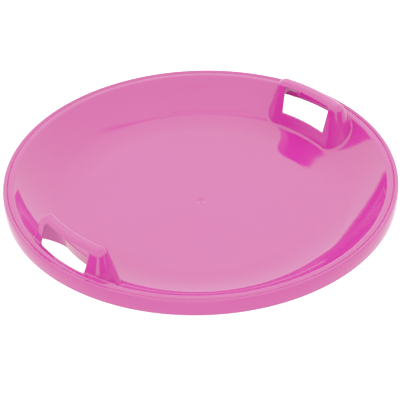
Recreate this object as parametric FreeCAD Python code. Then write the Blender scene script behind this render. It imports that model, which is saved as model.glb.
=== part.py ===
import FreeCAD, Part
import math
import os

# Saucer sled: a shallow round dish of thin moulded plastic with a rolled rim,
# a turned-down lip and two moulded hand grips standing on the inside of the
# wall, opposite each other.  Millimetres, +Z up.  The origin is the centre of
# the flat pad under the floor; the grips lie on the X axis.

V = FreeCAD.Vector
Z_AXIS = V(0, 0, 1)

# ---- driving dimensions ---------------------------------------------------
WALL_T = 2.6             # shell thickness
PAD_R = 60.0             # flat resting pad under the centre of the floor
DISC_R = 174.0           # shallow bowl round the pad
DISC_SLOPE = 2.8         # its slope at the outside, degrees
RING_R = 182.0           # soft ring where the bowl flattens
RING_SLOPE = 0.5
FOLD_R = 228.0           # crease between floor and side wall
FLOOR_SLOPE = 15.3       # floor slope at the crease
WALL_BEND_R = 132.6      # radius of the concave wall
WALL_SLOPE_0 = 22.0      # wall slope at the crease, degrees
WALL_SLOPE_1 = 48.0      # wall slope where it rolls over
ROLL_R = 6.0             # radius of the roll-over into the rim
RIM_Z = 53.2             # flat top of the rim
GROOVE_R = 292.0         # groove between the rolled rim and the lip
GROOVE_Z = 51.9
BEAD_R = 296.2           # crest of the rim bead
BEAD_Z = 55.2
LIP_MAX_R = 299.95       # widest place of the lip
LIP_MAX_Z = 41.0
LIP_BOTTOM_Z = 29.8      # lower edge of the turned-down lip

GRIP_TOP_Z = 84.0        # top of the hand grips
GRIP_MID_R = 255.75      # radius of the grip's centre line at its top
GRIP_HALF_W = 10.0       # half width of the grip's top before rounding
GRIP_DRAFT = 0.335       # growth of the half width per millimetre of drop
GRIP_LEAN = 0.085        # outward move of the centre line per millimetre of drop
GRIP_ROUND = 7.0         # rounding along the top edges
GRIP_END_T = 52.7        # half length to the axis of the rounded ends
WINDOW_TOP_Z = 78.7      # hand window in the inner panel
WINDOW_BOTTOM_Z = 35.0
WINDOW_TOP_HALF = 46.5
WINDOW_BOTTOM_HALF = 43.5
WINDOW_ROUND = 2.2
GAP_TOP_Z = 80.0         # open side towards the rim, below the grip
GAP_HALF = 47.5
GAP_ROUND = 5.0

GATE_R = 8.0             # moulding gate mark at the centre of the floor
GATE_DEPTH = 1.4
GATE_FLOOR_R = 3.0


# ---- small drawing helpers (profiles are drawn in the XZ plane) ------------
def p(x, z):
    return V(x, 0, z)


def line(a, b):
    return Part.LineSegment(p(*a), p(*b)).toShape()


def arc(a, m, b):
    return Part.Arc(p(*a), p(*m), p(*b)).toShape()


def revolve(edges):
    return Part.Face(Part.Wire(edges)).revolve(V(0, 0, 0), Z_AXIS, 360.0)


def unit(deg):
    a = math.radians(deg)
    return (math.cos(a), math.sin(a))


def meet(a, da, b, db):
    """Meeting point of two lines, each given by a point and a direction."""
    det = da[0] * (-db[1]) + db[0] * da[1]
    t = ((b[0] - a[0]) * (-db[1]) + db[0] * (b[1] - a[1])) / det
    return (a[0] + t * da[0], a[1] + t * da[1])


def below(pt, deg, t=WALL_T):
    """Point t under a surface point where the surface rises at deg."""
    d = unit(deg)
    return (pt[0] + d[1] * t, pt[1] - d[0] * t)


def corner_below(pt, deg0, deg1, t=WALL_T):
    """Offset of a crease where the slope changes from deg0 to deg1."""
    return meet(below(pt, deg0, t), unit(deg0), below(pt, deg1, t), unit(deg1))


def arc_mid(a, b, deg_a, deg_b):
    """Middle of the arc from a to b with end slopes deg_a and deg_b."""
    cx, cz = (a[0] + b[0]) / 2.0, (a[1] + b[1]) / 2.0
    chord = math.hypot(b[0] - a[0], b[1] - a[1])
    turn = math.radians(deg_b - deg_a)
    sag = chord / 2.0 * math.tan(turn / 4.0)
    ux, uz = (b[0] - a[0]) / chord, (b[1] - a[1]) / chord
    return (cx + uz * sag, cz - ux * sag)


def rise(run, deg_a, deg_b):
    """Height gained by an arc that turns from one slope to another."""
    return run * math.tan(math.radians(deg_a + deg_b) / 2.0)


# ---- surface stations, upper side -----------------------------------------
pad = (PAD_R, WALL_T)
disc = (DISC_R, WALL_T + rise(DISC_R - PAD_R, 0.0, DISC_SLOPE))
ring = (RING_R, disc[1] + rise(RING_R - DISC_R, DISC_SLOPE, RING_SLOPE))
fold = (FOLD_R, ring[1] + rise(FOLD_R - RING_R, RING_SLOPE, FLOOR_SLOPE))
s0, s1 = math.radians(WALL_SLOPE_0), math.radians(WALL_SLOPE_1)
wall_top = (fold[0] + WALL_BEND_R * (math.sin(s1) - math.sin(s0)),
            fold[1] + WALL_BEND_R * (math.cos(s0) - math.cos(s1)))
roll_z = RIM_Z - ROLL_R * (1.0 - math.cos(s1))
roll = (wall_top[0] + (roll_z - wall_top[1]) / math.tan(s1), roll_z)
rim_in = (roll[0] + ROLL_R * math.sin(s1), RIM_Z)
roll_mid = (roll[0] + ROLL_R * (math.sin(s1) - math.sin(s1 / 2.0)),
            roll[1] + ROLL_R * (math.cos(s1 / 2.0) - math.cos(s1)))

# ---- the same stations on the under side ------------------------------------
pad_u = (PAD_R, 0.0)
disc_u = below(disc, DISC_SLOPE)
ring_u = below(ring, RING_SLOPE)
fold_u = corner_below(fold, FLOOR_SLOPE, WALL_SLOPE_0)
wall_top_u = below(wall_top, WALL_SLOPE_1)
roll_u = below(roll, WALL_SLOPE_1)
roll_mid_u = below(roll_mid, WALL_SLOPE_1 / 2.0)
rim_in_u = (rim_in[0], RIM_Z - WALL_T)

disc_arc = arc_mid(pad, disc, 0.0, DISC_SLOPE)
ring_arc = arc_mid(disc, ring, DISC_SLOPE, RING_SLOPE)
fold_arc = arc_mid(ring, fold, RING_SLOPE, FLOOR_SLOPE)
wall_arc = arc_mid(fold, wall_top, WALL_SLOPE_0, WALL_SLOPE_1)
disc_arc_u = arc_mid(pad_u, disc_u, 0.0, DISC_SLOPE)
ring_arc_u = arc_mid(disc_u, ring_u, DISC_SLOPE, RING_SLOPE)
fold_arc_u = arc_mid(ring_u, fold_u, RING_SLOPE, FLOOR_SLOPE)
wall_arc_u = arc_mid(fold_u, wall_top_u, WALL_SLOPE_0, WALL_SLOPE_1)

# ---- floor pan --------------------------------------------------------------
gate_z = WALL_T - GATE_DEPTH
floor_pan = revolve([
    line((0, 0), pad_u),
    arc(pad_u, disc_arc_u, disc_u),
    arc(disc_u, ring_arc_u, ring_u),
    arc(ring_u, fold_arc_u, fold_u),
    line(fold_u, fold),
    arc(fold, fold_arc, ring),
    arc(ring, ring_arc, disc),
    arc(disc, disc_arc, pad),
    line(pad, (GATE_R, WALL_T)),
    line((GATE_R, WALL_T), (GATE_FLOOR_R, gate_z)),
    line((GATE_FLOOR_R, gate_z), (0, gate_z)),
    line((0, gate_z), (0, 0)),
])

# ---- side wall --------------------------------------------------------------
side_wall = revolve([
    line(fold_u, fold),
    arc(fold, wall_arc, wall_top),
    line(wall_top, wall_top_u),
    arc(wall_top_u, wall_arc_u, fold_u),
])

# ---- rim: roll-over, groove, bead and turned-down lip -----------------------
g0 = (GROOVE_R - 0.7, RIM_Z)
groove = (GROOVE_R, GROOVE_Z)
crest = (BEAD_R, BEAD_Z)
shoulder = (299.0, BEAD_Z - 3.6)
lip_low = (299.3, LIP_BOTTOM_Z + 3.6)
lip_end = (297.7, LIP_BOTTOM_Z)
lip_in = (296.4, LIP_BOTTOM_Z + 0.6)
lip_in_top = (296.9, 48.4)
bead_u = (294.9, 51.9)
groove_u = (GROOVE_R - 0.6, GROOVE_Z - 2.5)

rim = revolve([
    line(wall_top_u, wall_top),
    line(wall_top, roll),
    arc(roll, roll_mid, rim_in),
    line(rim_in, g0),
    line(g0, groove),
    arc(groove, (293.6, BEAD_Z - 1.1), crest),
    arc(crest, (298.1, BEAD_Z - 1.1), shoulder),
    arc(shoulder, (LIP_MAX_R, LIP_MAX_Z), lip_low),
    arc(lip_low, (298.95, LIP_BOTTOM_Z + 1.2), lip_end),
    line(lip_end, lip_in),
    line(lip_in, lip_in_top),
    arc(lip_in_top, (296.3, 51.0), bead_u),
    line(bead_u, groove_u),
    line(groove_u, rim_in_u),
    arc(rim_in_u, roll_mid_u, roll_u),
    line(roll_u, wall_top_u),
])

# ---- hand grips -------------------------------------------------------------
END_ANGLE = math.asin(GRIP_END_T / GRIP_MID_R)


def grip_outline(z, half):
    """Level outline of a grip: two arcs round the dish and two round ends."""
    mid = GRIP_MID_R + GRIP_LEAN * (GRIP_TOP_Z - z)
    ca, sa = math.cos(END_ANGLE), math.sin(END_ANGLE)

    def at(r, sgn):
        return V(r * ca, sgn * r * sa, z)

    def tip(sgn):
        return V(mid * ca - half * sa, sgn * (mid * sa + half * ca), z)

    r_in, r_out = mid - half, mid + half
    return Part.Wire([
        Part.Arc(at(r_in, -1), V(r_in, 0, z), at(r_in, 1)).toShape(),
        Part.Arc(at(r_in, 1), tip(1), at(r_out, 1)).toShape(),
        Part.Arc(at(r_out, 1), V(r_out, 0, z), at(r_out, -1)).toShape(),
        Part.Arc(at(r_out, -1), tip(-1), at(r_in, -1)).toShape(),
    ])


def grip_body(inset, z_low):
    """Drafted, round-ended bump along the rim, drawn inset from its skin."""
    slope = math.atan(GRIP_DRAFT)
    r = GRIP_ROUND - inset
    zc = GRIP_TOP_Z - GRIP_ROUND
    xc = GRIP_HALF_W + GRIP_DRAFT * GRIP_ROUND - GRIP_ROUND / math.cos(slope)
    half_top = GRIP_HALF_W - inset / math.cos(slope)
    wires = [grip_outline(z_low, half_top + GRIP_DRAFT * (GRIP_TOP_Z - z_low))]
    steps = 6
    for i in range(steps + 1):
        a = slope + (math.pi / 2.0 - slope) * i / steps
        wires.append(grip_outline(zc + r * math.sin(a), xc + r * math.cos(a)))
    return Part.makeLoft(wires, True, True)


def prism_x(points, x0, x1):
    """Prism along X over a polygon drawn in YZ."""
    verts = [V(x0, y, z) for y, z in points]
    wire = Part.makePolygon(verts + verts[:1])
    return Part.Face(wire).extrude(V(x1 - x0, 0, 0))


def round_x_edges(solid, r, keep):
    edges = []
    for e in solid.Edges:
        a, b = e.Vertexes[0].Point, e.Vertexes[-1].Point
        if abs(a.y - b.y) < 1e-6 and abs(a.z - b.z) < 1e-6 and keep(a):
            edges.append(e)
    return solid.makeFillet(r, edges)


skin = grip_body(0.0, -2.0)
hollow = grip_body(WALL_T, -6.0)

window = prism_x([
    (-WINDOW_BOTTOM_HALF, WINDOW_BOTTOM_Z), (WINDOW_BOTTOM_HALF, WINDOW_BOTTOM_Z),
    (WINDOW_TOP_HALF, WINDOW_TOP_Z), (-WINDOW_TOP_HALF, WINDOW_TOP_Z)],
    205.0, 250.0)
window = round_x_edges(window, WINDOW_ROUND, lambda a: True)

gap = prism_x([
    (-GAP_HALF, -8.0), (GAP_HALF, -8.0), (GAP_HALF, GAP_TOP_Z),
    (-GAP_HALF, GAP_TOP_Z)], 257.0, 320.0)
gap = round_x_edges(gap, GAP_ROUND, lambda a: a.z > 0)

# everything under the dish, which trims the feet of the grips
under = revolve([
    line((0, -40.0), (0, 0)),
    line((0, 0), pad_u),
    arc(pad_u, disc_arc_u, disc_u),
    arc(disc_u, ring_arc_u, ring_u),
    arc(ring_u, fold_arc_u, fold_u),
    arc(fold_u, wall_arc_u, wall_top_u),
    line(wall_top_u, roll_u),
    arc(roll_u, roll_mid_u, rim_in_u),
    line(rim_in_u, (330.0, rim_in_u[1])),
    line((330.0, rim_in_u[1]), (330.0, -40.0)),
    line((330.0, -40.0), (0, -40.0)),
])

right_handle = skin.cut(hollow).cut(window).cut(gap)
right_handle = right_handle.cut(under).cut(rim).cut(floor_pan)
skin_left = skin.copy()
skin_left.rotate(V(0, 0, 0), Z_AXIS, 180.0)
# the feet of the grips reach right across the wall and part it in two
side_wall = side_wall.cut(skin).cut(skin_left)


def solids(shape):
    return sorted(shape.Solids, key=lambda s: -s.Volume)


right_handle = solids(right_handle)[0]
left_handle = right_handle.copy()
left_handle.rotate(V(0, 0, 0), Z_AXIS, 180.0)
front_wall, back_wall = sorted(side_wall.Solids, key=lambda s: s.CenterOfMass.y)

# ---- write the pieces ---------------------------------------------------------
os.makedirs("parts", exist_ok=True)
pieces = {
    "floor_pan": floor_pan,
    "front_wall": front_wall,
    "back_wall": back_wall,
    "rim": rim,
    "left_handle": left_handle,
    "right_handle": right_handle,
}
for name, shape in pieces.items():
    shape.exportStep(os.path.join("parts", name + ".step"))
    box = shape.BoundBox
    print("%-13s valid %s  solids %d  faces %d  volume %.1f cm3  box %.1f %.1f %.1f .. %.1f %.1f %.1f" % (
        name, shape.isValid(), len(shape.Solids), len(shape.Faces), shape.Volume / 1000.0,
        box.XMin, box.YMin, box.ZMin, box.XMax, box.YMax, box.ZMax))
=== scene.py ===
import bpy
import math
import numpy as np
from mathutils import Matrix, Vector


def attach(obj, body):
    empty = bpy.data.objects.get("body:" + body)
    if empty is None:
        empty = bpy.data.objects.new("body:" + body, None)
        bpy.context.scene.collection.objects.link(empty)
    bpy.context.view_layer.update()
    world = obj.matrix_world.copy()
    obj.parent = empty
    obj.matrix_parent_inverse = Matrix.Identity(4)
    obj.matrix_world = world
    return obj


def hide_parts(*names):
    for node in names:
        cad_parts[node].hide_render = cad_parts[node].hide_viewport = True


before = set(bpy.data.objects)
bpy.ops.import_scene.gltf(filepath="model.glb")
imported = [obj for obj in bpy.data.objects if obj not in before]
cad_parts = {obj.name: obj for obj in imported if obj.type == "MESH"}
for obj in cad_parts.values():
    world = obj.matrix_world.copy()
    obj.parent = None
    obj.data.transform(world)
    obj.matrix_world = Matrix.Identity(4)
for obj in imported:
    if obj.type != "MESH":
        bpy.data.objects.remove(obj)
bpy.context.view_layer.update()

# All shape work is in millimetres; meshes are written in metres.
MM = 0.001
TURN = 480                      # facets round the dish

# ---- dimensions of the moulding ---------------------------------------------
T = 2.6                         # shell thickness
PAD_R = 60.0                    # flat middle of the floor
DISC_R, DISC_SLOPE = 174.0, 2.8         # shallow bowl round it
RING_R, RING_SLOPE = 182.0, 0.5         # soft ring where the bowl flattens
FOLD_R, FLOOR_SLOPE = 228.0, 15.3       # floor crease
WALL_R = 132.6                  # radius of the concave wall
SLOPE_0, SLOPE_1 = 22.0, 48.0   # wall slope at crease and at the roll-over
ROLL_R = 6.0                    # roll-over into the rim
RIM_Z = 53.2                    # flat top of the rim
GROOVE_R, GROOVE_Z = 292.0, 51.9
BEAD_R, BEAD_Z = 296.2, 55.2    # crest of the rim bead
LIP_Z = 29.8                    # lower end of the lip

GRIP_Z = 84.0
GRIP_R = 255.75
GRIP_HALF = 10.0
GRIP_DRAFT = 0.335
GRIP_LEAN = 0.085               # the middle of the grip moves out towards its base
GRIP_ROUND = 7.0
GRIP_END = 52.7
GRIP_CREASE = 0.8
WIN_TOP, WIN_LOW = 78.7, 35.0
WIN_TOP_HALF, WIN_LOW_HALF = 46.5, 43.5
WIN_ROUND = 2.2
GAP_TOP, GAP_HALF, GAP_ROUND = 80.0, 47.5, 5.0
GAP_R = 276.8                   # outer side of the slot between grip and rim
BASE_FILLET = 3.0
EDGE_ROUND = 1.1


# camera: focal length in pixels, distance to the aim point, tilt, roll, image place of the aim point
CAM_F, CAM_D, CAM_E, CAM_ROLL, CAM_U, CAM_V = 1434.75, 2174.2, 36.683, 1.758, 200.11, 169.05
CAM_AZ, CAM_Z0 = 43.6, 62.5


# ---- profile of the dish ------------------------------------------------------
def unit(deg):
    a = math.radians(deg)
    return (math.cos(a), math.sin(a))


def meet(a, da, b, db):
    det = da[0] * (-db[1]) + db[0] * da[1]
    t = ((b[0] - a[0]) * (-db[1]) + db[0] * (b[1] - a[1])) / det
    return (a[0] + t * da[0], a[1] + t * da[1])


def below(pt, deg, t=T):
    d = unit(deg)
    return (pt[0] + d[1] * t, pt[1] - d[0] * t)


def corner_below(pt, deg0, deg1):
    return meet(below(pt, deg0), unit(deg0), below(pt, deg1), unit(deg1))


def arc_mid(a, b, deg_a, deg_b):
    cx, cz = (a[0] + b[0]) / 2.0, (a[1] + b[1]) / 2.0
    chord = math.hypot(b[0] - a[0], b[1] - a[1])
    sag = chord / 2.0 * math.tan(math.radians(deg_b - deg_a) / 4.0)
    ux, uz = (b[0] - a[0]) / chord, (b[1] - a[1]) / chord
    return (cx + uz * sag, cz - ux * sag)


class Path:
    """A run of lines and arcs, sampled finely."""

    def __init__(self, start):
        self.pts = [np.array(start, float)]
        self.marks = {}

    def line(self, b, step=0.1):
        a = self.pts[-1]
        b = np.array(b, float)
        n = max(2, int(np.hypot(*(b - a)) / step))
        for i in range(1, n + 1):
            self.pts.append(a + (b - a) * i / n)
        return self

    def arc(self, m, b, step=0.1):
        a = self.pts[-1]
        m, b = np.array(m, float), np.array(b, float)
        d = 2 * (a[0] * (m[1] - b[1]) + m[0] * (b[1] - a[1]) + b[0] * (a[1] - m[1]))
        ux = ((a @ a) * (m[1] - b[1]) + (m @ m) * (b[1] - a[1]) + (b @ b) * (a[1] - m[1])) / d
        uy = ((a @ a) * (b[0] - m[0]) + (m @ m) * (a[0] - b[0]) + (b @ b) * (m[0] - a[0])) / d
        c = np.array([ux, uy])
        r = np.hypot(*(a - c))
        t0 = math.atan2(*(a - c)[::-1])
        tm = math.atan2(*(m - c)[::-1])
        t1 = math.atan2(*(b - c)[::-1])
        ccw = ((tm - t0) % (2 * math.pi)) < ((t1 - t0) % (2 * math.pi))
        span = (t1 - t0) % (2 * math.pi) if ccw else -((t0 - t1) % (2 * math.pi))
        n = max(6, int(abs(span) * r / step))
        for i in range(1, n + 1):
            t = t0 + span * i / n
            self.pts.append(c + r * np.array([math.cos(t), math.sin(t)]))
        return self

    def mark(self, name):
        self.marks[name] = len(self.pts) - 1
        return self


def rise(run, deg_a, deg_b):
    """Height gained by an arc that turns from one slope to another."""
    return run * math.tan(math.radians(deg_a + deg_b) / 2)


DISC = (DISC_R, T + rise(DISC_R - PAD_R, 0, DISC_SLOPE))
RING = (RING_R, DISC[1] + rise(RING_R - DISC_R, DISC_SLOPE, RING_SLOPE))
FOLD = (FOLD_R, RING[1] + rise(FOLD_R - RING_R, RING_SLOPE, FLOOR_SLOPE))
fold_u = corner_below(FOLD, FLOOR_SLOPE, SLOPE_0)
ring_u, disc_u = below(RING, RING_SLOPE), below(DISC, DISC_SLOPE)
s0, s1 = math.radians(SLOPE_0), math.radians(SLOPE_1)
WALL_TOP = (FOLD[0] + WALL_R * (math.sin(s1) - math.sin(s0)), FOLD[1] + WALL_R * (math.cos(s0) - math.cos(s1)))
roll_z = RIM_Z - ROLL_R * (1 - math.cos(s1))
ROLL = (WALL_TOP[0] + (roll_z - WALL_TOP[1]) / math.tan(s1), roll_z)
RIM_IN = (ROLL[0] + ROLL_R * math.sin(s1), RIM_Z)
roll_mid = (ROLL[0] + ROLL_R * (math.sin(s1) - math.sin(s1 / 2)), ROLL[1] + ROLL_R * (math.cos(s1 / 2) - math.cos(s1)))
wall_top_u, roll_u = below(WALL_TOP, SLOPE_1), below(ROLL, SLOPE_1)
rim_in_u = (RIM_IN[0], RIM_Z - T)
roll_mid_u = below(roll_mid, SLOPE_1 / 2)


path = Path((0, T - 1.4))
path.line((3, T - 1.4)).line((8, T)).line((PAD_R, T), 0.25)
path.arc(arc_mid((PAD_R, T), DISC, 0, DISC_SLOPE), DISC).arc(arc_mid(DISC, RING, DISC_SLOPE, RING_SLOPE), RING)
path.arc(arc_mid(RING, FOLD, RING_SLOPE, FLOOR_SLOPE), FOLD).mark("fold")
path.arc(arc_mid(FOLD, WALL_TOP, SLOPE_0, SLOPE_1), WALL_TOP).mark("foot")
path.line(ROLL).arc(roll_mid, RIM_IN).line((GROOVE_R - 0.7, RIM_Z)).line((GROOVE_R, GROOVE_Z))
path.arc((293.6, BEAD_Z - 1.1), (BEAD_R, BEAD_Z)).arc((298.1, BEAD_Z - 1.1), (299.0, BEAD_Z - 3.6))
path.arc((299.92, 41.0), (299.3, LIP_Z + 3.6)).arc((298.95, LIP_Z + 1.2), (297.7, LIP_Z))
path.line((296.4, LIP_Z + 0.6)).line((296.9, 48.4)).arc((296.3, 51.0), (294.9, 51.9))
path.line((GROOVE_R - 0.6, GROOVE_Z - 2.5)).line(rim_in_u).arc(roll_mid_u, roll_u).line(wall_top_u).mark("foot_u")
path.arc(arc_mid(wall_top_u, fold_u, SLOPE_1 + 180, SLOPE_0 + 180), fold_u).mark("fold_u")
path.arc(arc_mid(fold_u, ring_u, FLOOR_SLOPE + 180, RING_SLOPE + 180), ring_u)
path.arc(arc_mid(ring_u, disc_u, RING_SLOPE + 180, DISC_SLOPE + 180), disc_u)
path.arc(arc_mid(disc_u, (PAD_R, 0), DISC_SLOPE + 180, 180), (PAD_R, 0)).line((0, 0), 0.25)


def smooth_path(path, sigma_of):
    """Rounds the corners of a path: each point becomes a local average over
    a length that depends on where it is."""
    p = np.array(path.pts)
    s = np.concatenate([[0], np.cumsum(np.hypot(*np.diff(p, axis=0).T))])
    n = int(s[-1] / 0.1)
    u = np.linspace(0, s[-1], n)
    q = np.stack([np.interp(u, s, p[:, 0]), np.interp(u, s, p[:, 1])], 1)
    h = u[1] - u[0]
    out = np.zeros_like(q)
    sig = np.array([sigma_of(a[0], a[1]) for a in q])
    for level in sorted(set(sig)):
        m = max(1, int(4 * level / h))
        k = np.exp(-0.5 * (np.arange(-m, m + 1) * h / level) ** 2)
        k /= k.sum()
        # mirrored ends keep the profile square to the axis of the dish
        ext = np.concatenate([q[1:m + 1][::-1] * [-1, 1], q, q[-m - 1:-1][::-1] * [-1, 1]])
        sm = np.stack([np.convolve(ext[:, i], k, "valid") for i in (0, 1)], 1)
        out[sig == level] = sm[sig == level]
    marks = {k_: int(round(s[i] / h)) for k_, i in path.marks.items()}
    return out, marks


def sigma_of(r, z):
    if r < 12:
        return 0.5
    if r < 279:
        return 0.9
    return 0.45


prof, marks = smooth_path(path, sigma_of)
tang = np.gradient(prof, axis=0)
tang /= np.maximum(1e-9, np.hypot(tang[:, 0], tang[:, 1]))[:, None]
# the path runs outwards along the top, so its left side is the outside
prof_n = np.stack([-tang[:, 1], tang[:, 0]], 1)
prof_n[0], prof_n[-1] = (0, 1), (0, -1)
prof[0, 0] = prof[-1, 0] = 0.0


def pick_rings(i0, i1, turn_deg=2.5, gap=9.0):
    """Profile samples between two indices, closer together where it bends."""
    keep = [i0]
    turn = dist = 0.0
    for i in range(i0 + 1, i1 + 1):
        c = np.clip(prof_n[i] @ prof_n[i - 1], -1, 1)
        turn += math.degrees(math.acos(c))
        dist += np.hypot(*(prof[i] - prof[i - 1]))
        if turn > turn_deg or dist > gap:
            keep.append(i)
            turn = dist = 0.0
    if keep[-1] != i1:
        keep.append(i1)
    return keep


# ---- distance fields -----------------------------------------------------------
poly_idx = pick_rings(0, len(prof) - 1, 1.5, 12.0)
poly = prof[poly_idx]
near = poly[:, 0] > 195.0


def dish_field(r, z):
    """Signed distance to the dish, negative inside the plastic (r over 200)."""
    shape = r.shape
    r, z = r.ravel(), z.ravel()
    best = np.full(r.shape, 1e9)
    inside = np.zeros(r.shape, bool)
    for i in range(len(poly) - 1):
        a, b = poly[i], poly[i + 1]
        if not (near[i] or near[i + 1]):
            continue
        ab = b - a
        t = np.clip(((r - a[0]) * ab[0] + (z - a[1]) * ab[1]) / (ab @ ab), 0, 1)
        dx, dz = r - (a[0] + t * ab[0]), z - (a[1] + t * ab[1])
        np.minimum(best, dx * dx + dz * dz, out=best)
        # crossing count along a ray in the -z direction
        lo, hi = (a, b) if a[0] < b[0] else (b, a)
        cross = (r >= lo[0]) & (r < hi[0])
        if cross.any():
            zc = a[1] + (r[cross] - a[0]) * ab[1] / ab[0]
            inside[np.flatnonzero(cross)[zc < z[cross]]] ^= True
    d = np.sqrt(best)
    d[inside] *= -1
    return d.reshape(shape)


under_keys = np.array([tuple(q) for q in prof[marks["foot_u"]:][::10][::-1] if q[0] > 100]
                      + [rim_in_u, (340.0, rim_in_u[1])])


def above_under(r, z):
    """Height over the under side of the dish, roughly as a distance."""
    low = np.interp(r, under_keys[:, 0], under_keys[:, 1])
    return (z - low) * 0.85


def rmax(a, b, r):
    u, v = np.maximum(a + r, 0), np.maximum(b + r, 0)
    return np.minimum(np.maximum(a, b), -r) + np.hypot(u, v)


def rmin(a, b, r):
    return -rmax(-a, -b, r)


def skin_field(x, y, z):
    """The outside of a grip, without its hollow: a drafted, round-ended bump."""
    rr = np.hypot(x, y)
    end = math.asin(GRIP_END / GRIP_R)
    ay = np.abs(y)
    along = np.arctan2(ay, x) < end
    mid = GRIP_R + GRIP_LEAN * (GRIP_Z - z)
    across = np.abs(rr - mid)
    s = np.where(along, across, np.hypot(x - mid * math.cos(end), ay - mid * math.sin(end)))
    w = GRIP_HALF + GRIP_DRAFT * (GRIP_Z - z)
    side = rmax(s - (w + GRIP_CREASE), across - w, 1.5)
    side = side / math.sqrt(1 + GRIP_DRAFT ** 2)
    return rmax(side, z - GRIP_Z, GRIP_ROUND)


def trapezoid_field(y, z, low, top, half_low, half_top, r):
    """Rounded trapezoid in the YZ plane."""
    ay = np.abs(y)
    k = (half_top - half_low) / (top - low)
    side = (ay - (half_low + k * (z - low))) / math.sqrt(1 + k * k)
    return rmax(rmax(side, z - top, r), low - z, r)


def gap_field(x, y, z):
    """The open side of a grip, under its bar."""
    gap = rmax(np.abs(y) - GAP_HALF, z - GAP_TOP, GAP_ROUND)
    return np.maximum(gap, 257.0 - x)


def grip_total(x, y, z, dish):
    """The dish with one grip on it, hollowed and pierced."""
    skin = skin_field(x, y, z)
    gap = gap_field(x, y, z)
    rr = np.hypot(x, y)
    body = rmax(np.maximum(skin, -above_under(rr, z)), -gap, EDGE_ROUND)
    whole = rmin(dish, body, BASE_FILLET)
    whole = np.maximum(whole, -np.maximum(skin + T, rr - GAP_R))
    whole = rmax(whole, -np.maximum(gap, rr - GAP_R), EDGE_ROUND)
    window = trapezoid_field(y, z, WIN_LOW, WIN_TOP, WIN_LOW_HALF, WIN_TOP_HALF, WIN_ROUND)
    window = np.maximum(window, x - 250.0)
    return rmax(whole, -window, EDGE_ROUND)


# ---- meshing helpers -----------------------------------------------------------
def surface_nets(f, origin, step):
    """Quads on the zero level of a sampled field."""
    nx, ny, nz = f.shape
    neg = f < 0
    c = np.zeros((nx - 1, ny - 1, nz - 1), np.int8)
    for i in (0, 1):
        for j in (0, 1):
            for k in (0, 1):
                c += neg[i:nx - 1 + i, j:ny - 1 + j, k:nz - 1 + k]
    active = (c > 0) & (c < 8)
    ids = np.full(c.shape, -1, np.int64)
    cells = np.argwhere(active)
    ids[active] = np.arange(len(cells))
    total = np.zeros((len(cells), 3))
    count = np.zeros(len(cells))
    corners = np.array([(i, j, k) for i in (0, 1) for j in (0, 1) for k in (0, 1)])
    for a in range(8):
        for b in range(a + 1, 8):
            if np.abs(corners[a] - corners[b]).sum() != 1:
                continue
            ca, cb = cells + corners[a], cells + corners[b]
            fa, fb = f[tuple(ca.T)], f[tuple(cb.T)]
            m = (fa < 0) != (fb < 0)
            t = fa[m] / (fa[m] - fb[m])
            total[m] += ca[m] + (cb[m] - ca[m]) * t[:, None]
            count[m] += 1
    verts = np.array(origin) + step * total / count[:, None]
    quads = []
    for axis in range(3):
        sl0 = [slice(None)] * 3
        sl1 = [slice(None)] * 3
        sl0[axis], sl1[axis] = slice(0, -1), slice(1, None)
        a, b = neg[tuple(sl0)], neg[tuple(sl1)]
        e = np.argwhere(a != b)
        o = [(axis + 1) % 3, (axis + 2) % 3]
        ok = np.ones(len(e), bool)
        for q in o:
            ok &= (e[:, q] > 0) & (e[:, q] < f.shape[q] - 1)
        e = e[ok]
        flip = a[tuple(e.T)]
        ring = []
        for d0, d1 in ((-1, -1), (0, -1), (0, 0), (-1, 0)):
            g = e.copy()
            g[:, o[0]] += d0
            g[:, o[1]] += d1
            ring.append(ids[tuple(g.T)])
        ring = np.stack(ring, 1)
        ring[~flip] = ring[~flip][:, ::-1]
        quads.append(ring)
    return verts, np.concatenate(quads)


def make_object(name, verts, faces, normals):
    """Mesh object with smooth faces and the given vertex normals."""
    mesh = bpy.data.meshes.new(name)
    if isinstance(faces, np.ndarray):
        faces = faces.tolist()
    mesh.from_pydata((np.asarray(verts) * MM).tolist(), [], faces)
    mesh.polygons.foreach_set("use_smooth", [True] * len(mesh.polygons))
    mesh.normals_split_custom_set_from_vertices(np.asarray(normals).tolist())
    mesh.update()
    obj = bpy.data.objects.new(name, mesh)
    bpy.context.scene.collection.objects.link(obj)
    return obj


def lathe(name, runs, clip=None):
    """Rings of profile samples swept round Z. Each run is a list of samples;
    clip is a field whose negative side is cut away."""
    ang = np.arange(TURN) * 2 * math.pi / TURN
    ca, sa = np.cos(ang), np.sin(ang)
    V, N, F = [], [], []
    base = 0
    for run in runs:
        P, Q = prof[run], prof_n[run]
        for k in range(len(run)):
            if P[k, 0] < 1e-6:
                V.append(np.array([[0, 0, P[k, 1]]]))
                N.append(np.array([[0, 0, Q[k, 1]]]))
            else:
                V.append(np.stack([P[k, 0] * ca, P[k, 0] * sa, np.full(TURN, P[k, 1])], 1))
                N.append(np.stack([Q[k, 0] * ca, Q[k, 0] * sa, np.full(TURN, Q[k, 1])], 1))
        starts = np.cumsum([0] + [len(v) for v in V[-len(run):]]) + base
        j = np.arange(TURN)
        jn = (j + 1) % TURN
        for k in range(len(run) - 1):
            a, b = starts[k], starts[k + 1]
            la, lb = len(V[-len(run) + k]), len(V[-len(run) + k + 1])
            if la == 1:
                F += np.stack([np.full(TURN, a), b + j, b + jn], 1).tolist()
            elif lb == 1:
                F += np.stack([a + jn, a + j, np.full(TURN, b)], 1).tolist()
            else:
                F += np.stack([a + j, b + j, b + jn, a + jn], 1).tolist()
        base = starts[-1]
    V, N = np.concatenate(V), np.concatenate(N)
    if clip is not None:
        V, N, F = clip_mesh(V, N, F, clip)
    return make_object(name, V, F, N)


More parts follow.
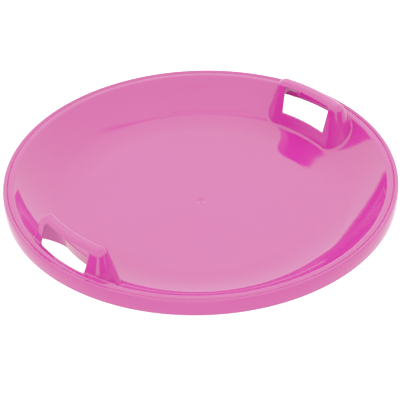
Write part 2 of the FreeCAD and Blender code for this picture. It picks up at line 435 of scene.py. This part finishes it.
def clip_mesh(V, N, F, field):
    """Cuts faces along the zero level of a field, keeping the positive side."""
    f = field(V)
    V, N = list(V), list(N)
    cut = {}
    out = []

    def point(i, j):
        key = (min(i, j), max(i, j))
        if key not in cut:
            a, b = V[key[0]], V[key[1]]
            fa, lo, hi = f[key[0]], 0.0, 1.0
            for _ in range(24):
                mid = (lo + hi) / 2
                fm = field((a + (b - a) * mid)[None])[0]
                if (fm < 0) == (fa < 0):
                    lo = mid
                else:
                    hi = mid
            n = N[key[0]] + (N[key[1]] - N[key[0]]) * lo
            cut[key] = len(V)
            V.append(a + (b - a) * lo)
            N.append(n / np.linalg.norm(n))
        return cut[key]

    for face in F:
        g = [f[i] >= 0 for i in face]
        if all(g):
            out.append(face)
        elif any(g):
            ring = []
            for q in range(len(face)):
                i, j = face[q], face[(q + 1) % len(face)]
                if f[i] >= 0:
                    ring.append(i)
                if (f[i] >= 0) != (f[j] >= 0):
                    ring.append(point(i, j))
            if len(ring) > 2:
                out.append(ring)
    used = sorted({i for r in out for i in r})
    index = {u: k for k, u in enumerate(used)}
    V, N = np.array(V)[used], np.array(N)[used]
    return V, N, [[index[i] for i in r] for r in out]


# ---- dish pieces ------------------------------------------------------------------
last = len(prof) - 1


def hollow_both(p):
    """Field that is negative inside the hollow or the slot of either grip."""
    x, y, z = np.abs(p[:, 0]), p[:, 1], p[:, 2]
    return np.maximum(np.minimum(skin_field(x, y, z) + T, gap_field(x, y, z)), np.hypot(x, y) - GAP_R)


floor_pan = lathe("floor_pan_skin", [pick_rings(0, marks["fold"]), pick_rings(marks["fold_u"], last)])
wall_runs = [pick_rings(marks["fold"], marks["foot"], 2.0, 3.0), pick_rings(marks["foot_u"], marks["fold_u"], 2.0, 3.0)]
front_wall = lathe("front_wall_skin", wall_runs, lambda p: np.minimum(hollow_both(p), -p[:, 1]))
back_wall = lathe("back_wall_skin", wall_runs, lambda p: np.minimum(hollow_both(p), p[:, 1]))
rim = lathe("rim_skin", [pick_rings(marks["foot"], marks["foot_u"])])

# ---- grips ---------------------------------------------------------------------------
STEP_MM = 0.8
lo = np.array([212.0, -100.0, -4.0])
n = (np.array([294.0, 100.0, 88.0]) - lo) / STEP_MM
n = n.astype(int) + 1
gx = lo[0] + STEP_MM * np.arange(n[0])
gy = lo[1] + STEP_MM * np.arange(n[1])
gz = lo[2] + STEP_MM * np.arange(n[2])
# the dish field depends only on radius and height: look it up from a fine table
tr = np.arange(205.0, 312.0, 0.25)
tz = np.arange(-6.0, 92.0, 0.25)
table = dish_field(*np.meshgrid(tr, tz, indexing="ij"))


def dish_lookup(r, z):
    i = np.clip((r - tr[0]) / 0.25, 0, len(tr) - 1.001)
    j = np.clip((z - tz[0]) / 0.25, 0, len(tz) - 1.001)
    i0, j0 = i.astype(int), j.astype(int)
    u, v = i - i0, j - j0
    return ((1 - u) * (1 - v) * table[i0, j0] + u * (1 - v) * table[i0 + 1, j0]
            + (1 - u) * v * table[i0, j0 + 1] + u * v * table[i0 + 1, j0 + 1])


X, Y, Z = np.meshgrid(gx, gy, gz, indexing="ij")
vol = grip_total(X, Y, Z, dish_lookup(np.hypot(X, Y), Z))
gv, gq = surface_nets(vol, lo, STEP_MM)
del X, Y, Z, vol


def grip_exact(p):
    return grip_total(p[:, 0], p[:, 1], p[:, 2], dish_field(np.hypot(p[:, 0], p[:, 1]), p[:, 2]))


def gradient(p, h=0.04):
    g = np.zeros_like(p)
    for a in range(3):
        q = p.copy()
        q[:, a] += h
        r = p.copy()
        r[:, a] -= h
        g[:, a] = (grip_exact(q) - grip_exact(r)) / (2 * h)
    return g


# leave out what is plain dish, so only the grip and its fillets remain
on_dish = np.abs(dish_field(np.hypot(gv[:, 0], gv[:, 1]), gv[:, 2])) < 0.05
keep = ~on_dish[gq].all(axis=1)
gq = gq[keep]
used = np.unique(gq)
remap = np.full(len(gv), -1)
remap[used] = np.arange(len(used))
gv, gq = gv[used], remap[gq]
for _ in range(3):
    g = gradient(gv)
    d = grip_exact(gv)
    move = -d[:, None] * g / np.maximum(0.2, (g * g).sum(1))[:, None]
    length = np.linalg.norm(move, axis=1)
    move *= np.minimum(1, 0.5 * STEP_MM / np.maximum(1e-9, length))[:, None]
    gv = gv + move
gn = gradient(gv)
gn /= np.maximum(1e-9, np.linalg.norm(gn, axis=1))[:, None]

right_handle = make_object("right_handle_skin", gv, gq, gn)
half_turn = np.array([-1.0, -1.0, 1.0])
left_handle = make_object("left_handle_skin", gv * half_turn, gq, gn * half_turn)

# ---- plastic ------------------------------------------------------------------------
plastic = bpy.data.materials.new("pink_plastic")
plastic.use_nodes = True
nt = plastic.node_tree
bsdf = nt.nodes["Principled BSDF"]
bsdf.inputs["IOR"].default_value = 1.5
bsdf.inputs["Specular IOR Level"].default_value = 1.0
bsdf.inputs["Specular Tint"].default_value = (0.1, 1.0, 0.55, 1)
place = nt.nodes.new("ShaderNodeTexCoord")


def noise(scale, detail):
    """Grey noise fixed to the part, by its number of waves to the metre."""
    n = nt.nodes.new("ShaderNodeTexNoise")
    n.inputs["Scale"].default_value = scale
    n.inputs["Detail"].default_value = detail
    nt.links.new(place.outputs["Object"], n.inputs["Vector"])
    return n.outputs[0]


# the pigment is not quite even through the moulding
tone = nt.nodes.new("ShaderNodeValToRGB")
tone.color_ramp.elements[0].position, tone.color_ramp.elements[1].position = 0.3, 0.7
tone.color_ramp.elements[0].color = (0.383, 0.0270, 0.213, 1)
tone.color_ramp.elements[1].color = (0.403, 0.0290, 0.226, 1)
nt.links.new(noise(9.0, 3.0), tone.inputs["Fac"])
nt.links.new(tone.outputs["Color"], bsdf.inputs["Base Color"])
# the gloss varies a little, and the skin has a very fine ripple
gloss = nt.nodes.new("ShaderNodeMapRange")
for i, v in ((1, 0.3), (2, 0.7), (3, 0.05), (4, 0.085)):
    gloss.inputs[i].default_value = v
nt.links.new(noise(35.0, 4.0), gloss.inputs[0])
nt.links.new(gloss.outputs[0], bsdf.inputs["Roughness"])
ripple = nt.nodes.new("ShaderNodeBump")
ripple.inputs["Strength"].default_value = 0.06
ripple.inputs["Distance"].default_value = 0.0004
nt.links.new(noise(140.0, 1.0), ripple.inputs["Height"])
nt.links.new(ripple.outputs["Normal"], bsdf.inputs["Normal"])

for obj, node in ((floor_pan, "floor_pan"), (front_wall, "front_wall"), (back_wall, "back_wall"), (rim, "rim"),
                  (left_handle, "left_handle"), (right_handle, "right_handle")):
    obj.data.materials.append(plastic)
    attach(obj, "root")
    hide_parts(node)

# ---- floor, light, camera ---------------------------------------------------------------
def math_node(op, a, b=None, tree=None):
    """A math node fed by sockets or numbers; returns its output."""
    tree = tree or wt
    m = tree.nodes.new("ShaderNodeMath")
    m.operation = op
    for i, v in enumerate((a, b)):
        if v is None:
            continue
        if isinstance(v, (int, float)):
            m.inputs[i].default_value = v
        else:
            tree.links.new(v, m.inputs[i])
    return m.outputs[0]


def ramp(value, lo, hi, out_lo, out_hi, tree=None):
    """Smooth step between two numbers."""
    tree = tree or wt
    m = tree.nodes.new("ShaderNodeMapRange")
    m.interpolation_type = "SMOOTHSTEP"
    for i, v in ((1, lo), (2, hi), (3, out_lo), (4, out_hi)):
        m.inputs[i].default_value = v
    tree.links.new(value, m.inputs[0])
    return m.outputs[0]


white = bpy.data.materials.new("stage_white")
white.use_nodes = True
wb = white.node_tree.nodes["Principled BSDF"]
wb.inputs["Base Color"].default_value = (0.30, 0.30, 0.30, 1)
wb.inputs["Roughness"].default_value = 0.9
wb.inputs["Specular IOR Level"].default_value = 0.0
# a plain round floor, lit evenly from within like a light table
wb.inputs["Emission Color"].default_value = (1, 1, 1, 1)
wb.inputs["Emission Strength"].default_value = 1.0
mesh = bpy.data.meshes.new("floor")
ring = [(1.6 * math.cos(math.tau * i / 128), 1.6 * math.sin(math.tau * i / 128), 0) for i in range(128)]
mesh.from_pydata(ring, [], [tuple(range(128))])
floor = bpy.data.objects.new("floor", mesh)
bpy.context.scene.collection.objects.link(floor)
floor.data.materials.append(white)

world = bpy.data.worlds.new("studio")
bpy.context.scene.world = world
world.use_nodes = True
wt = world.node_tree
sky = wt.nodes["Background"]
coord = wt.nodes.new("ShaderNodeTexCoord")
split = wt.nodes.new("ShaderNodeSeparateXYZ")
wt.links.new(coord.outputs["Generated"], split.inputs["Vector"])


# the bright backdrop stands behind the object, the side near the camera is dimmer
az = math.radians(CAM_AZ)
depth = math_node("ADD", math_node("MULTIPLY", split.outputs["X"], math.sin(az)),
                  math_node("MULTIPLY", split.outputs["Y"], math.cos(az)))
glow = math_node("MULTIPLY", ramp(depth, 0.05, 0.55, 0.0, 1.0), ramp(split.outputs["Z"], 0.15, 0.45, 0.0, 1.0))
level = math_node("ADD", math_node("MULTIPLY", glow, 0.1), 1.87)

# faint seams of the tent above the object
side = math_node("SUBTRACT", math_node("MULTIPLY", split.outputs["X"], math.cos(az)),
                 math_node("MULTIPLY", split.outputs["Y"], math.sin(az)))
for place, width, dark, mid, half in ((0.27, 0.075, 0.45, 0.0, 0.5), (0.13, 0.03, 0.30, -0.05, 0.25), (-0.51, 0.03, 0.2, 0.0, 0.12)):
    off = math_node("ABSOLUTE", math_node("SUBTRACT", depth, place))
    fade = ramp(math_node("ABSOLUTE", math_node("SUBTRACT", side, mid)), half * 0.6, half, dark, 0.0)
    notch = math_node("MULTIPLY", ramp(off, 0.0, width, 1.0, 0.0), fade)
    level = math_node("MULTIPLY", level, math_node("SUBTRACT", 1.0, notch))

# the near horizon is dark but for a gap to the left of the camera
low = math_node("MULTIPLY", ramp(split.outputs["Z"], 0.10, 0.20, 1.0, 0.0), ramp(depth, 0.05, 0.25, 1.0, 0.0))
gap_l, gap_r = ramp(side, -0.56, -0.46, 0.0, 1.0), ramp(side, 0.08, 0.18, 1.0, 0.0)
gap = math_node("MULTIPLY", math_node("MULTIPLY", gap_l, gap_r), ramp(depth, -0.3, -0.1, 1.0, 0.0))
shade = math_node("MULTIPLY", low, math_node("SUBTRACT", 1.0, gap))
level = math_node("MULTIPLY", level, math_node("SUBTRACT", 1.0, math_node("MULTIPLY", shade, 0.85)))
wt.links.new(level, sky.inputs["Strength"])
sky.inputs["Color"].default_value = (1, 1, 1, 1)

e, roll = math.radians(CAM_E), math.radians(CAM_ROLL)
right0 = Vector((1, 0, 0))
up0 = Vector((0, math.sin(e), math.cos(e)))
fwd = Vector((0, math.cos(e), -math.sin(e)))
right1 = math.cos(roll) * right0 - math.sin(roll) * up0
up1 = math.sin(roll) * right0 + math.cos(roll) * up0
ox = (CAM_U - 200) * CAM_D / CAM_F
oy = -(CAM_V - 200) * CAM_D / CAM_F
pos = -CAM_D * fwd - ox * right1 - oy * up1
spin = Matrix.Rotation(math.radians(-CAM_AZ), 3, "Z")
pos = spin @ pos + Vector((0, 0, CAM_Z0))
right1, up1, fwd = spin @ right1, spin @ up1, spin @ fwd

cam_data = bpy.data.cameras.new("camera")
cam = bpy.data.objects.new("camera", cam_data)
bpy.context.scene.collection.objects.link(cam)
rot = Matrix((right1, up1, -fwd)).transposed().to_4x4()
cam.matrix_world = Matrix.Translation(pos * MM) @ rot
cam_data.sensor_width = 36.0
cam_data.sensor_fit = "HORIZONTAL"
cam_data.lens = 36.0 * CAM_F / 400.0
cam_data.clip_end = 50
bpy.context.scene.camera = cam
view = bpy.context.scene.view_settings
view.view_transform = "Standard"
# like film, the picture holds back strong reds and blues
view.use_curve_mapping = True
for channel, keys in ((0, ((0.30, 0.45), (0.50, 0.665), (0.62, 0.715), (0.76, 0.76))), (2, ((0.30, 0.385), (0.48, 0.49)))):
    for at in keys:
        view.curve_mapping.curves[channel].points.new(*at).handle_type = "AUTO_CLAMPED"
view.curve_mapping.update()
